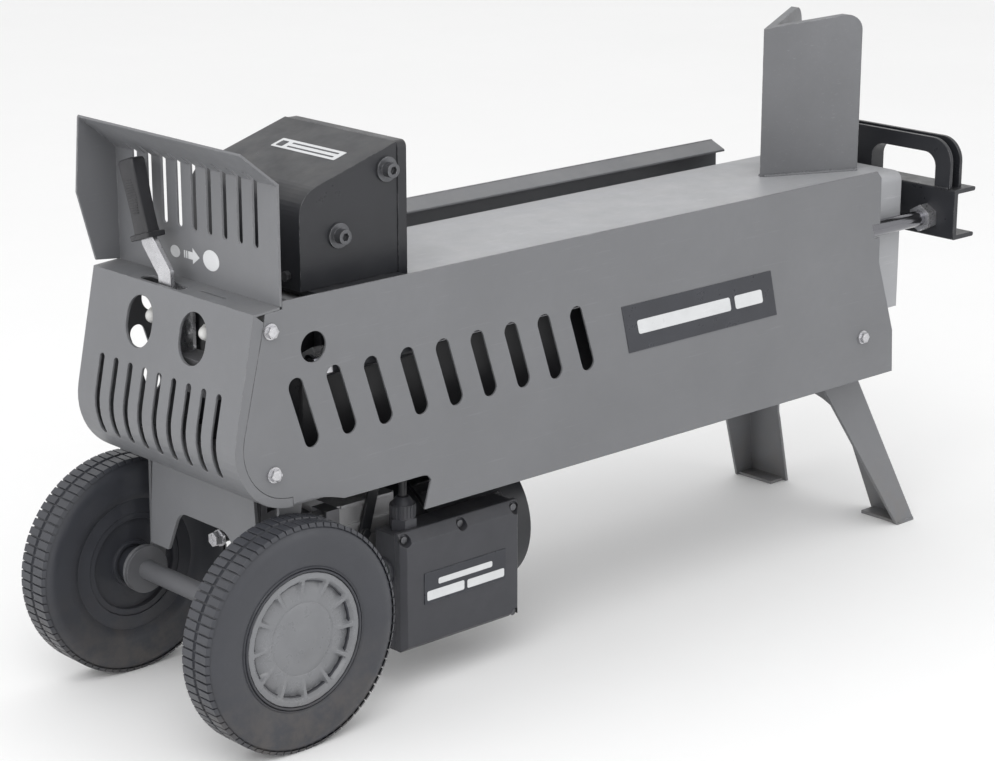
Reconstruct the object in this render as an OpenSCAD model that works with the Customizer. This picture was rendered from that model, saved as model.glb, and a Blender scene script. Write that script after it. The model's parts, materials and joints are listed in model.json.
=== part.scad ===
// Horizontal electric log splitter with two wheels and a rear stand.
// Origin on the ground, midway between the ends. +X runs from the wheel end to the wedge end, +Z is up.

/* [Body] */
// Outside width across the side panels
body_w = 282; // [276:1:290]
// Height of the top edge of the side panels
body_top = 480; // [478:1:484]
// Height of the bottom edge of the side panels
body_bottom = 214.5; // [208:0.5:222]
// Thickness of the sheet metal
sheet = 2.5; // [2:0.1:3]
// Lean of the front cover from upright, in degrees
cover_lean = 11.8; // [8:0.1:14]
// Radius of the curl at the bottom of the front cover
cover_curl = 71.5; // [60:0.5:78]
// Number of vent slots in each side panel
vent_count = 9; // [5:1:9]

/* [Beam and wedge] */
// Outside width of the main beam
beam_w = 200; // [190:1:204]
// Wall thickness of the main beam
beam_wall = 6; // [5:0.5:8]
// Height of the wedge's cutting edge above the beam
wedge_h = 187; // [150:1:200]
// Half width of the wedge at its back
wedge_half_w = 56; // [45:1:62]

/* [Ram] */
// Travel of the ram
stroke = 520; // [300:10:520]
// Diameter of the two tie rods
tie_rod_d = 20; // [16:1:22]
// Distance of each tie rod from the middle
tie_rod_y = 118; // [116:0.5:120]
// Bore of the cylinder
cylinder_bore = 80; // [70:1:80]
// Diameter of the piston rod
piston_rod_d = 40; // [30:1:45]

/* [Wheels] */
// Outer diameter of the tyres
wheel_d = 250; // [244:1:254]
// Distance between the outer faces of the two tyres
wheel_span = 348; // [346:1:352]
// Diameter of the axle rod
axle_d = 16; // [12:1:18]

/* [Motor and pump] */
// Outer diameter of the motor
motor_d = 164; // [150:1:166]
// Outer diameter of the pump's drum
pump_d = 146; // [130:1:150]

/* [Hidden] */
$fn = 48;

// Every X below is counted from the axle. crosshead_x is the front face of the crosshead's web.
crosshead_x = 1068;
crosshead_depth = 42;
mid_x = (crosshead_x + crosshead_depth - wheel_d / 2) / 2;

half_w = body_w / 2;
skin = half_w - sheet;
beam_x0 = 60;
beam_x1 = 1036;
beam_top = 460;
beam_bottom = 283;
beam_half = beam_w / 2;
beam_inner = beam_half - beam_wall;
ram_z = 399.5;

panel_x1 = 945;
panel_foot_x = 982;
front_top = [-31, 472];
front_bottom = 260;
plinth_bottom = 253.5;
notch_x = 192;
guard_x = 2;
guard_fold_z = 600;
guard_tip = [-43.5, 635];

wheel_r = wheel_d / 2;
rim_r = 76;
hub_cap_r = 72.5;
wheel_out = wheel_span / 2;
wheel_in = wheel_out - 50;
hub_in = 120;
pan_top = 262.5;
bolt_points = [[-11.3, 451.7], [-11.3, 300.1], [919.7, 271]];

motor_z = 126;
motor_r = motor_d / 2;
pump_x1 = 236;
block_y = 60;
block_top = 210;
gear_teeth = 10;
gear_pitch_r = 15;
gear_drop = 30.4;

lever_x = -22;
lever_pivot = [20, 425];
lever_pin = [20, 388];

pusher_x0 = 65;
pusher_x1 = 197;
pusher_face_t = 12;
pusher_half = 95;
pusher_top = 611;
pusher_slope = 16.9;
carriage_x0 = 75;
carriage_x1 = 195;
carriage_top = 470;

box_x0 = 168;
box_x1 = 343;
box_z0 = 50;
box_z1 = 184;
box_seam_y = -118;
box_front_y = -132;
lid_top = box_z1 + 3;
lid_screws_at = [[box_x0 + 7, lid_top - 8], [256, lid_top - 8], [box_x1 - 7, lid_top - 8],
    [box_x1 - 7, box_z0 + 3]];
cable_d = 9;
cable_x = 192;
cable_y = -104;

// Shifts parts that are placed from the axle so that the origin is midway between the ends
module placed() translate([-mid_x, 0, 0]) children();

// An outline drawn in X and Z, given thickness from y0 to y1
module plate_xz(y0, y1) translate([0, y1, 0]) rotate([90, 0, 0]) linear_extrude(y1 - y0) children();

// An outline drawn in Y and Z, given thickness from x0 to x1
module plate_yz(x0, x1) translate([x0, 0, 0]) rotate([90, 0, 90]) linear_extrude(x1 - x0) children();

// A round bar along X through [y, z]
module bar_x(x0, x1, d, at) translate([x0, at.x, at.y]) rotate([0, 90, 0]) cylinder(h = x1 - x0, d = d);

// A round bar along Y through [x, z]
module bar_y(y0, y1, d, at) translate([at.x, y0, at.y]) rotate([-90, 0, 0]) cylinder(h = y1 - y0, d = d);

// A hexagon bar along X, given its size across flats, turned about its own axis
module hex_x(x0, x1, flats, at, turn = 0)
    translate([x0, at.x, at.y]) rotate([0, 90, 0]) rotate(turn)
        cylinder(h = x1 - x0, d = flats / cos(30), $fn = 6);

// A hexagon bar along Y, given its size across flats
module hex_y(y0, y1, flats, at)
    translate([at.x, y0, at.y]) rotate([-90, 0, 0]) cylinder(h = y1 - y0, d = flats / cos(30), $fn = 6);

// The same shape on both sides of the middle plane
module both_sides() {
    children();
    mirror([0, 1, 0]) children();
}

// A flat slot with round ends from a to b
module slot(a, b, w) {
    run = norm(b - a);
    translate(a) rotate(atan2(b.y - a.y, b.x - a.x)) {
        circle(d = w);
        translate([0, -w / 2]) square([run, w]);
        translate([run, 0]) circle(d = w);
    }
}

// Points along an arc, from angle a0 to a1
function arc(c, r, a0, a1, n) = [for (i = [0:n])
    let(a = a0 + (a1 - a0) * i / n) c + r * [cos(a), sin(a)]];

// A tube along a chain of points, with a ball elbow at each bend
module pipe(path, d) {
    for (i = [0:len(path) - 2]) {
        run = path[i + 1] - path[i];
        translate(path[i])
            rotate([0, acos(run.z / norm(run)), atan2(run.y, run.x)])
                cylinder(h = norm(run), d = d);
        if (i > 0) translate(path[i]) sphere(d = d + 3);
    }
}

// ---- Frame ----

// Section of the main beam in Y and Z, shrunk by inset on its sides and top
module beam_section(inset, r) {
    w = beam_half - inset;
    top = beam_top - inset;
    polygon(concat([[-w, beam_bottom], [w, beam_bottom]], arc([w - r, top - r], r, 0, 90, 6),
        arc([-w + r, top - r], r, 90, 180, 6)));
}

// Beam with its welded end plate, which takes the cylinder's push
module main_beam() {
    plate_x = 1012;
    plate_low = 290;
    rod_hole_d = piston_rod_d + 16;
    color("silver") placed() difference() {
        union() {
            difference() {
                plate_yz(beam_x0, beam_x1) beam_section(0, 12);
                translate([0, 0, -1]) plate_yz(beam_x0 - 1, beam_x1 + 1) beam_section(beam_wall, 4);
            }
            translate([plate_x, -beam_inner - 1, plate_low])
                cube([20, 2 * beam_inner + 2, beam_top - 2 - plate_low]);
        }
        bar_x(plate_x - 1, plate_x + 21, rod_hole_d, [0, ram_z]);
    }
}

// Centre of the curl at the bottom of the front cover
curl_z = front_bottom + cover_curl;
curl_x = front_top.x + (cover_curl + (curl_z - front_top.y) * sin(cover_lean)) / cos(cover_lean);

// The front cover's outline from its top edge to its bottom edge, moved inward by inset
function front_path(inset, n = 14) = concat(
    [[front_top.x + inset / cos(cover_lean) + inset * tan(cover_lean), front_top.y - inset]],
    arc([curl_x, curl_z], cover_curl - inset, 180 - cover_lean, 270, n));

// Height of the underside of the front cover's top at x
function cover_underside(x) = front_top.y + 0.4 - sheet
    + (x - front_top.x - 5) * 2.1 / (guard_x - 0.2 - front_top.x - 5);

function reversed(list) = [for (i = [len(list) - 1:-1:0]) list[i]];

module side_panel(side) {
    vent_pitch = 49.7;
    vent_w = 19.4;
    vent_top = [20.2, 391.3];
    vent_lean = [19.3, -59];
    y0 = side < 0 ? -half_w : skin;
    rod_gap_z = [395, 413];
    lip_y = 116;
    lip_z = body_top - 10;
    arch_c = [28, 113];
    arch_r = 150;
    difference() {
        plate_xz(y0, y0 + sheet) difference() {
            polygon(concat(front_path(10.5), [[curl_x + 0.5, front_bottom + 10.5]],
                arc(arch_c, arch_r, acos((curl_x + 0.5 - arch_c.x) / arch_r),
                    asin((plinth_bottom - arch_c.y) / arch_r), 8),
                [[notch_x - 2, plinth_bottom], [notch_x + 5, plinth_bottom - 1.5],
                [notch_x + 9.5, plinth_bottom - 7], [notch_x, body_bottom],
                [panel_foot_x, body_bottom], [panel_foot_x - 3, 269], [969, 298.5], [panel_x1 + 2, 363],
                [panel_x1, body_top - 9], [panel_x1 - 8, body_top], [guard_x + 3, body_top],
                [guard_x + 3, cover_underside(guard_x) - 0.2],
                [front_top.x + 14, cover_underside(front_top.x + 14) - 0.2]]));
            polygon([[panel_x1 + 5, rod_gap_z[0]], [937, rod_gap_z[0]], [931, rod_gap_z[1]],
                [panel_x1 + 5, rod_gap_z[1]]]);
            // the first vent sits a little lower than the rest
            for (i = [0:vent_count - 1])
                translate([i * vent_pitch, i == 0 ? -4 : 0])
                    slot(vent_top, vent_top + vent_lean, vent_w);
        }
        bar_y(-half_w - 1, half_w + 1, 33, [43.8, 425.4]);
        for (at = bolt_points) bar_y(-half_w - 1, half_w + 1, 8.4, at);
    }
    mirror([0, side > 0 ? 1 : 0, 0]) plate_yz(guard_x + 4, panel_x1 - 8)
        polygon([[-half_w, body_top - 0.5], [-half_w + 1, body_top], [-lip_y, lip_z],
            [-lip_y, lip_z - sheet], [-half_w + sheet, body_top - 1 - sheet], [-half_w, body_top - 4]]);
}

module side_panel_near() {
    color("dimgray") placed() side_panel(-1);
}

module side_panel_far() {
    color("dimgray") placed() side_panel(1);
}

module front_cover() {
    slot_pitch = 26;
    slot_w = 9;
    hole_y = 47;
    hole_w = 46;
    color("dimgray") placed() {
        difference() {
            union() {
                plate_xz(-half_w, half_w) polygon(concat(
                    [[guard_x - 0.2, front_top.y + 2.5], [front_top.x + 5, front_top.y + 0.4]],
                    front_path(0), reversed(front_path(sheet)),
                    [[front_top.x + 5, front_top.y + 0.4 - sheet],
                    [guard_x - 0.2, front_top.y + 2.5 - sheet]]));
                both_sides() plate_xz(-half_w, -skin + sheet)
                    polygon(concat(front_path(1), reversed(front_path(10))));
                // tabs that the front bolts hold
                both_sides() translate([-42, -skin, 290]) cube([41, sheet, 21]);
                both_sides() translate([-33, -skin, 441]) cube([32, sheet, 21]);
            }
            for (i = [-4:4])
                plate_yz(-80, -20) slot([i * slot_pitch, 301], [i * slot_pitch, 381], slot_w);
            both_sides() plate_yz(-80, -25) slot([hole_y, 425.5], [hole_y, 434.5], hole_w);
            translate([0, 0, front_top.y - 10]) linear_extrude(20) slot([-20, -4], [-20, 57], 14);
            translate([0, 0, front_top.y - 10]) linear_extrude(20) slot([-14, -71], [-14, -30], 3.5);
            for (at = bolt_points) bar_y(-half_w - 1, half_w + 1, 8.4, at);
        }
    }
}

module hand_guard() {
    slot_pitch = 26;
    slot_w = 8.5;
    color("dimgray") placed() {
        difference() {
            union() {
                translate([guard_x, -half_w, 474.7])
                    cube([sheet, body_w, guard_fold_z - 474.7]);
                translate([guard_x, -skin, 440.5]) cube([sheet, 2 * skin, 36]);
                plate_xz(-half_w, half_w) polygon([[guard_x, guard_fold_z - 2],
                    [guard_x + sheet, guard_fold_z], guard_tip + [1.5, 2], guard_tip]);
            }
            for (i = [-4:4])
                plate_yz(-11, 20) slot([i * slot_pitch, 533], [i * slot_pitch, 614], slot_w);
        }
        plate_xz(skin, half_w) polygon([[guard_x + sheet, guard_fold_z], guard_tip + [1.5, 2], guard_tip,
            [-49.7, 555], [-29, 478], [guard_x, 474.7], [guard_x + sheet, 474.7]]);
    }
}

module floor_pan() {
    color("dimgray") placed() difference() {
        union() {
            translate([14, -skin, pan_top - sheet]) cube([174, 2 * skin, sheet]);
            both_sides() translate([14, -skin, pan_top - 1]) cube([174, sheet, 19]);
            // ribs that carry the beam's front end
            both_sides() translate([64, -98, pan_top - 1]) cube([60, 6, beam_bottom - pan_top + 1]);
        }
        translate([134, -60, pan_top - 10]) cube([60, 120, 20]);
        translate([56, 15, pan_top - 10]) cylinder(h = 20, d = 18);
        translate([52, -24, pan_top - 10]) cylinder(h = 20, d = 20);
        translate([cable_x, cable_y, pan_top - 10]) cylinder(h = 20, d = 24);
    }
}

module wheel_bracket() {
    plate_t = 4;
    arch_r = 22;
    lug_in = 113;
    lug_out = 117;
    top = pan_top - sheet;
    color("dimgray") placed() difference() {
        union() {
            plate_yz(0, plate_t) difference() {
                polygon([[-90, top], [90, top], [100, 160], [-100, 160]]);
                polygon(concat([[76, 140]], arc([52 - arch_r, 209 - arch_r], arch_r, 20, 90, 6),
                    arc([-52 + arch_r, 209 - arch_r], arch_r, 90, 160, 6), [[-76, 140]]));
            }
            translate([0, -lug_out, top - plate_t]) cube([44, 2 * lug_out, plate_t]);
            both_sides() plate_xz(-lug_out, -lug_in) {
                translate([0, wheel_r]) circle(r = 27);
                polygon([[11, wheel_r + 20], [26, wheel_r - 5], [44, top - 1], [13, top - 1]]);
            }
        }
        bar_y(-130, 130, 22, [0, wheel_r]);
    }
}

module axle_tube() {
    color("gray") placed() difference() {
        union() {
            bar_y(-117, 117, 22, [0, wheel_r]);
            both_sides() bar_y(-112.5, -108.5, 54, [0, wheel_r]);
        }
        bar_y(-118, 118, axle_d, [0, wheel_r]);
    }
}

// Axle rod with its retaining rings and inner washers
module axle_rod() {
    color("silver") placed() {
        bar_y(-161, 161, axle_d, [0, wheel_r]);
        both_sides() bar_y(-160.3, -158.3, 26, [0, wheel_r]);
        both_sides() bar_y(-119.4, -117, 30, [0, wheel_r]);
    }
}

module leg_stand() {
    leg_t = 4;
    foot_x = 1039;
    foot_y = 143;
    rake = atan(0.3475);
    splay = atan(0.2475);
    top = 279;
    slant = 1 / cos(rake);
    color("dimgray") placed() difference() {
        union() {
            // web across both legs, tilted to the rake
            intersection() {
                translate([foot_x, 0, 0]) rotate([0, -rake, 0]) difference() {
                    plate_yz(-leg_t, 0) polygon([[-foot_y - 2, -8], [foot_y + 2, -8],
                        [foot_y - 0.2475 * top, top * slant], [-foot_y + 0.2475 * top, top * slant]]);
                    bar_x(-leg_t - 5, 5, 126, [0, 100 * slant]);
                    plate_yz(-leg_t - 5, 5) polygon([[-78, -20], [78, -20], [63, 100 * slant],
                        [-63, 100 * slant]]);
                }
                translate([850, -foot_y, 0]) cube([250, 2 * foot_y, top]);
            }
            // side flanges, tilted to the splay
            both_sides() intersection() {
                translate([0, -foot_y, 0]) rotate([-splay, 0, 0]) plate_xz(0, leg_t)
                    polygon([[foot_x - 31, -5], [foot_x, -5], [foot_x - 0.3475 * top, top / cos(splay)],
                        [862, top / cos(splay)]]);
                translate([850, -foot_y, 0]) cube([250, foot_y, top]);
            }
            // feet
            both_sides() translate([foot_x - 31, -foot_y, 0]) cube([30, 63, leg_t]);
            // cross plate under the beam, with ears bolted to the side panels
            translate([870, -skin, top]) cube([75, 2 * skin, leg_t]);
            both_sides() translate([900, -skin, 262]) cube([40, leg_t, 34]);
        }
        for (at = bolt_points) bar_y(-half_w - 1, half_w + 1, 8.4, at);
    }
}

module wedge() {
    wing_t = 10;
    tip_x = 877;
    back_x = 1000;
    back_top = beam_top + wedge_h + 13;
    half_angle = atan(wedge_half_w / (back_x - tip_x));
    inner_tip = tip_x + wing_t / sin(half_angle);
    inner_back = (back_x + 1 - inner_tip) * tan(half_angle);
    brace_half = (975 - inner_tip) * tan(half_angle) + 4;
    r = 20;
    color("gray") placed() {
        intersection() {
            translate([0, 0, beam_top]) linear_extrude(wedge_h + 20) {
                difference() {
                    polygon([[tip_x, 0], [back_x, -wedge_half_w], [back_x, wedge_half_w]]);
                    polygon([[inner_tip, 0], [back_x + 1, -inner_back], [back_x + 1, inner_back]]);
                }
            }
            plate_xz(-70, 70) polygon(concat([[tip_x - 1, beam_top], [back_x, beam_top]],
                arc([back_x - r, back_top - r], r, 0, 84, 8), [[tip_x - 1, beam_top + wedge_h]]));
        }
        // stiffener between the wings
        translate([975, -brace_half, beam_top]) cube([wing_t, 2 * brace_half, 90]);
    }
}

// ---- Cylinder and tank ----

module cylinder_tube() {
    outer_d = cylinder_bore + 16;
    color("dimgray") placed() difference() {
        bar_x(372, 985, outer_d, [0, ram_z]);
        bar_x(400, 986, cylinder_bore, [0, ram_z]);
        bar_x(386, 401, 20, [0, ram_z]);
        translate([393, 0, ram_z - outer_d]) cylinder(h = outer_d, d = 8);
    }
}

module cylinder_head() {
    spigot_d = cylinder_bore;
    clearance = 0.1;
    color("silver") placed() difference() {
        union() {
            bar_x(985, 1012, cylinder_bore + 20, [0, ram_z]);
            bar_x(965, 985, spigot_d, [0, ram_z]);
        }
        bar_x(960, 1015, piston_rod_d + clearance, [0, ram_z]);
    }
}

module oil_tank() {
    wall = 3;
    x0 = 66;
    x1 = 366;
    w = beam_inner;
    top = beam_top - beam_wall - 2;
    low = 290;
    color("dimgray") placed() difference() {
        translate([x0, -w, low]) cube([x1 - x0, 2 * w, top - low - 6]);
        translate([x0 + wall, -w + wall, low + wall])
            cube([x1 - x0 - 2 * wall, 2 * w - 2 * wall, top - low - 6 - 2 * wall]);
        both_sides() bar_x(x0 - 1, x0 + wall + 1, 12, [47, 433]);
    }
}

// Filler and breather pipes with their domed caps
module filler_caps() {
    color("whitesmoke") placed() both_sides() {
        bar_x(-16, 69, 12, [47, 433]);
        bar_x(-22, -16, 18, [47, 433]);
        translate([-22, 47, 433]) intersection() {
            sphere(d = 16);
            translate([-9, -9, -9]) cube([9, 18, 18]);
        }
    }
}

module drain_plug() {
    color("silver") placed() {
        hex_x(-6, 2, 14, [-24, 197]);
        bar_x(2, 5, 18, [-24, 197]);
    }
}

module hydraulic_pipes() {
    color("dimgray") placed() {
        // drain from the tank to the plug
        pipe([[5, -24, 197], [52, -24, 197], [52, -24, 274], [84, -24, 274], [84, -24, 290]], 12);
        // pressure line from the pump to the valve
        pipe([[150, 15, block_top], [150, 15, 232], [56, 15, 232], [56, 15, 340],
            [10, -22, 385], [-8, -22, 385]], 12);
        // suction line from the tank to the pump
        pipe([[150, -15, block_top], [150, -15, 290]], 14);
        // line from the valve to the cylinder's base
        pipe([[-8, -50, 385], [20, -50, 385], [20, -50, 271], [393, -50, 271], [393, 0, 310],
            [393, 0, ram_z - cylinder_bore / 2 - 8]], 10);
    }
}

// ---- Valve and lever ----

module valve_block() {
    color("gray") placed() difference() {
        translate([-36, -76, 369]) cube([28, 64, 37]);
        bar_y(-80, 0, 12.1, [lever_x, lever_pin.y]);
    }
}

module lever_bracket() {
    back_x = -9.5;
    color("dimgray") placed() {
        plate_xz(-12, 38) polygon([[back_x, 369], [back_x, cover_underside(back_x)],
            [back_x - 4, cover_underside(back_x - 4)], [back_x - 4, 369]]);
        bar_x(-29, back_x - 4, 8, lever_pivot);
        bar_x(-29, -26.5, 14, lever_pivot);
    }
}

module lever_strip() {
    strip_t = 5;
    strip_w = 22;
    x0 = lever_x - strip_t / 2;
    knee = [20, 484];
    elbow = [48, 514];
    tip = [74, 582];
    color("lightgray") placed() difference() {
        union() {
            plate_yz(x0, x0 + strip_t) {
                slot(lever_pin, lever_pivot, 18);
                slot(lever_pivot, knee, strip_w);
                slot(knee, elbow, strip_w);
                slot(elbow, tip, 18);
            }
            bar_x(x0 - 5, x0, 6, lever_pin);
        }
        bar_x(x0 - 6, x0 + 10, 8.1, lever_pivot);
    }
}

module lever_grip() {
    grip_low = [50, 516];
    grip_dir = [26, 80] / norm([26, 80]);
    grip_lean = atan2(grip_dir.x, grip_dir.y);
    grip_len = 86;
    core = 5.2;
    color([0.12, 0.12, 0.13]) placed() difference() {
        translate([lever_x, grip_low.x, grip_low.y]) rotate([-grip_lean, 0, 0]) union() {
            translate([-9, -14, 0]) cube([18, 28, grip_len]);
            translate([-12, -17.5, 0]) cube([24, 35, 6]);
        }
        plate_yz(lever_x - core / 2, lever_x + core / 2) {
            slot([20, 484], [48, 514], 22.2);
            slot([48, 514], [74, 582], 18.2);
        }
    }
}

module valve_spool() {
    color("silver") placed() difference() {
        union() {
            bar_y(-84, 6, 12, [lever_x, lever_pin.y]);
            translate([lever_x - 9, 5, lever_pin.y - 9]) cube([6, 27, 18]);
            translate([lever_x - 9, 0, lever_pin.y - 6]) cube([15, 6, 12]);
        }
        translate([lever_x - 10, lever_pin.x - 3.5, lever_pin.y - 6.5]) cube([8, 7, 13]);
    }
}

module lever_switch() {
    color([0.15, 0.15, 0.16]) placed() translate([20, -122, pan_top]) cube([34, 34, 28]);
}

// ---- Pump and motor ----

module pump_housing() {
    color("lightgray") placed() difference() {
        union() {
            bar_x(134, pump_x1, pump_d, [0, motor_z]);
            translate([134, -block_y, motor_z]) cube([82, 2 * block_y, block_top - motor_z]);
            // stiffening ribs along the block's sides
            both_sides() for (z = [158, 182, 206]) translate([140, -block_y - 2, z]) cube([74, 3, 4]);
        }
        bar_x(133, 156, 36.4, [0, motor_z]);
        bar_x(133, 156, 36.4, [0, motor_z - gear_drop]);
        bar_x(133, pump_x1 + 1, 18.1, [0, motor_z]);
        bar_x(133, 168, 14.1, [0, motor_z - gear_drop]);
    }
}

module pump_cover() {
    color([0.2, 0.2, 0.21]) placed() difference() {
        union() {
            bar_x(116, 134, pump_d - 10, [0, motor_z]);
            // port block and its pipe nut
            both_sides() translate([116, -66, motor_z + 40]) cube([18, 26, 44]);
            hex_x(104, 116, 14, [-54, 202]);
        }
        bar_x(124, 135, 18.1, [0, motor_z]);
        bar_x(124, 135, 14.1, [0, motor_z - gear_drop]);
    }
}

// One pump gear with straight-sided teeth
module pump_gear(x0, x1, phase) {
    tip_r = gear_pitch_r + 2;
    root_r = gear_pitch_r - 3;
    pitch = 360 / gear_teeth;
    plate_yz(x0, x1) {
        circle(r = root_r);
        for (i = [0:gear_teeth - 1]) rotate(i * pitch + phase)
            polygon([[root_r - 1, -3.3], [gear_pitch_r, -1.75], [tip_r, -0.9], [tip_r, 0.9],
                [gear_pitch_r, 1.75], [root_r - 1, 3.3]]);
    }
}

module pump_gear_drive() {
    color("silver") placed() difference() {
        translate([0, 0, motor_z]) pump_gear(136, 154, 0);
        bar_x(135, 155, 18, [0, motor_z]);
    }
}

module pump_gear_driven() {
    color("silver") placed() {
        translate([0, 0, motor_z - gear_drop]) pump_gear(136, 154, 180 / gear_teeth);
        bar_x(126, 166, 14, [0, motor_z - gear_drop]);
    }
}

// Straps that carry the pump and the motor
module pump_hangers() {
    plate_z = beam_bottom - 6;
    color([0.2, 0.2, 0.21]) placed() {
        translate([184, -97, plate_z]) cube([34, 194, 6]);
        both_sides() {
            plate_xz(-block_y - 6, -block_y - 2)
                polygon([[193, plate_z], [207, plate_z], [174.5, 165], [160.5, 165]]);
            hex_y(-block_y - 10, -block_y - 6, 10, [169.5, 173]);
        }
        difference() {
            translate([300, -30, motor_z]) cube([30, 60, beam_bottom - motor_z]);
            bar_x(299, 331, motor_d, [0, motor_z]);
        }
        translate([300, -97, plate_z]) cube([30, 194, 6]);
    }
}

module motor_housing() {
    wall = 4;
    color([0.2, 0.2, 0.21]) placed() difference() {
        union() {
            bar_x(pump_x1, 262, motor_d - 10, [0, motor_z]);
            bar_x(262, 372, motor_d, [0, motor_z]);
        }
        bar_x(266, 366, motor_d - 2 * wall, [0, motor_z]);
        bar_x(252, 267, 36, [0, motor_z]);
        bar_x(360, 373, 36, [0, motor_z]);
        bar_x(pump_x1 - 1, 373, 18.6, [0, motor_z]);
    }
}

module motor_stator() {
    color("gray") placed() difference() {
        bar_x(276, 352, motor_d - 8, [0, motor_z]);
        bar_x(275, 353, 98, [0, motor_z]);
    }
}

module fan_cover() {
    wall = 3;
    louvre_count = 12;
    color([0.2, 0.2, 0.21]) placed() difference() {
        union() {
            bar_x(372, 405, motor_d, [0, motor_z]);
            translate([405, 0, motor_z]) rotate([0, 90, 0])
                cylinder(h = 8, d1 = motor_d, d2 = motor_d - 20);
        }
        bar_x(371, 409, motor_d - 2 * wall - 10, [0, motor_z]);
        for (i = [0:louvre_count - 1])
            translate([0, 0, motor_z]) rotate([i * 360 / louvre_count, 0, 0])
                plate_yz(404, 415) slot([24, 0], [58, 0], 7);
    }
}

module motor_bearings() {
    color("silver") placed() for (x = [252.2, 361]) difference() {
        bar_x(x, x + 9.6, 36, [0, motor_z]);
        bar_x(x - 1, x + 11, 18.06, [0, motor_z]);
    }
}

module rotor_shaft() {
    color("silver") placed() {
        bar_x(126, 392, 18, [0, motor_z]);
        difference() {
            bar_x(278, 350, 96, [0, motor_z]);
            bar_x(277, 351, 18, [0, motor_z]);
        }
    }
}

module motor_fan() {
    blade_count = 7;
    color([0.15, 0.15, 0.16]) placed() difference() {
        union() {
            bar_x(376, 379, 120, [0, motor_z]);
            bar_x(376, 392, 30, [0, motor_z]);
            for (i = [0:blade_count - 1])
                translate([0, 0, motor_z]) rotate([i * 360 / blade_count, 0, 0])
                    translate([378, 12, -1.5]) cube([14, 46, 3]);
        }
        bar_x(375, 393, 18, [0, motor_z]);
    }
}

// ---- Switch box and cable ----

module switch_box() {
    wall = 3;
    neck_y = -76;
    button = [-100, 138];
    color([0.2, 0.2, 0.21]) placed() difference() {
        union() {
            translate([box_x0, box_seam_y, box_z0]) cube([box_x1 - box_x0, 32, box_z1 - box_z0]);
            translate([235, -87, 100]) cube([75, 87 + neck_y, 52]);
        }
        translate([box_x0 + wall, box_seam_y - 1, box_z0 + wall])
            cube([box_x1 - box_x0 - 2 * wall, 30, box_z1 - box_z0 - 2 * wall]);
        bar_x(200, 420, motor_d, [0, motor_z]);
        bar_x(box_x0 - 1, box_x0 + wall + 1, 22.6, button);
        translate([cable_x, cable_y, box_z1 - 10]) cylinder(h = 20, d = 16);
    }
}

module box_lid() {
    wall = 3;
    corner = 6;
    low = box_z0;
    top = lid_top;
    color([0.2, 0.2, 0.21]) placed() difference() {
        intersection() {
            plate_yz(box_x0, box_x1) polygon([[box_seam_y, low], [box_front_y + 6, low],
                [box_front_y, low + 5], [box_front_y, top - 12], [box_front_y + 9, top],
                [box_seam_y, top]]);
            translate([0, 0, low]) linear_extrude(top - low) polygon([[box_x0, box_seam_y],
                [box_x0, box_front_y + corner], [box_x0 + corner, box_front_y],
                [box_x1 - corner, box_front_y], [box_x1, box_front_y + corner], [box_x1, box_seam_y]]);
        }
        plate_yz(box_x0 + wall, box_x1 - wall) polygon([[box_seam_y + 1, low + 12],
            [box_front_y + 7, low + 12], [box_front_y + 7, top - 20], [box_seam_y + 1, top - 14]]);
        // recesses for the screws, open at the corners
        for (at = lid_screws_at) bar_y(box_front_y - 1, box_front_y + 9, 14, at);
    }
}

module lid_screws() {
    seat_y = box_front_y + 9;
    color("silver") placed() for (at = lid_screws_at) bar_y(seat_y - 3, seat_y, 8, at);
}

module cable_gland() {
    color([0.12, 0.12, 0.13]) placed() difference() {
        union() {
            translate([cable_x, cable_y, box_z1 - 8]) cylinder(h = 12, d = 16);
            translate([cable_x, cable_y, box_z1]) cylinder(h = 13, d = 32, $fn = 6);
            translate([cable_x, cable_y, box_z1 + 13]) cylinder(h = 16, d = 28);
            translate([cable_x, cable_y, box_z1 + 29]) cylinder(h = 8, d1 = 26, d2 = 14);
        }
        translate([cable_x, cable_y, box_z1 - 9]) cylinder(h = 50, d = cable_d);
    }
}

// Cable from the switch box, up through the gland and across to the lever switch
module motor_cable() {
    bend = 28;
    run_z = pan_top + 14;
    color([0.1, 0.1, 0.11]) placed() {
        translate([cable_x, cable_y, box_z1 - 8]) cylinder(h = run_z - bend - box_z1 + 8, d = cable_d);
        translate([cable_x - bend, cable_y, run_z - bend]) rotate([90, 0, 0])
            rotate_extrude(angle = 90) translate([bend, 0]) circle(d = cable_d);
        bar_x(54, cable_x - bend, cable_d, [cable_y, run_z]);
    }
}

module start_button() {
    color("darkgreen") placed() {
        bar_x(box_x0 - 9, box_x0 + 8, 22, [-100, 138]);
    }
}

// ---- Fasteners and labels ----

module panel_bolts() {
    color("silver") placed() both_sides() for (at = bolt_points) {
        bar_y(-half_w - 2, -half_w, 17, at);
        hex_y(-half_w - 6.5, -half_w - 2, 12, at);
        bar_y(-half_w, -skin + 8, 8, at);
    }
}

module label_plates() {
    slant = 14;
    color([0.08, 0.08, 0.09]) placed() {
        both_sides() plate_xz(-half_w - 0.8, -half_w)
            polygon([[489, 387], [742, 387], [742 + slant, 330], [489 + slant, 330]]);
        plate_xz(box_front_y - 0.8, box_front_y) translate([198, 100]) square([121, 36]);
    }
}

// ---- Ram ----

// Centre of the rounded rear edge on top of the pusher
function pusher_edge_z(r) = pusher_top
    + ((pusher_x0 + r - pusher_x1) * sin(pusher_slope) - r) / cos(pusher_slope);

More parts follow.
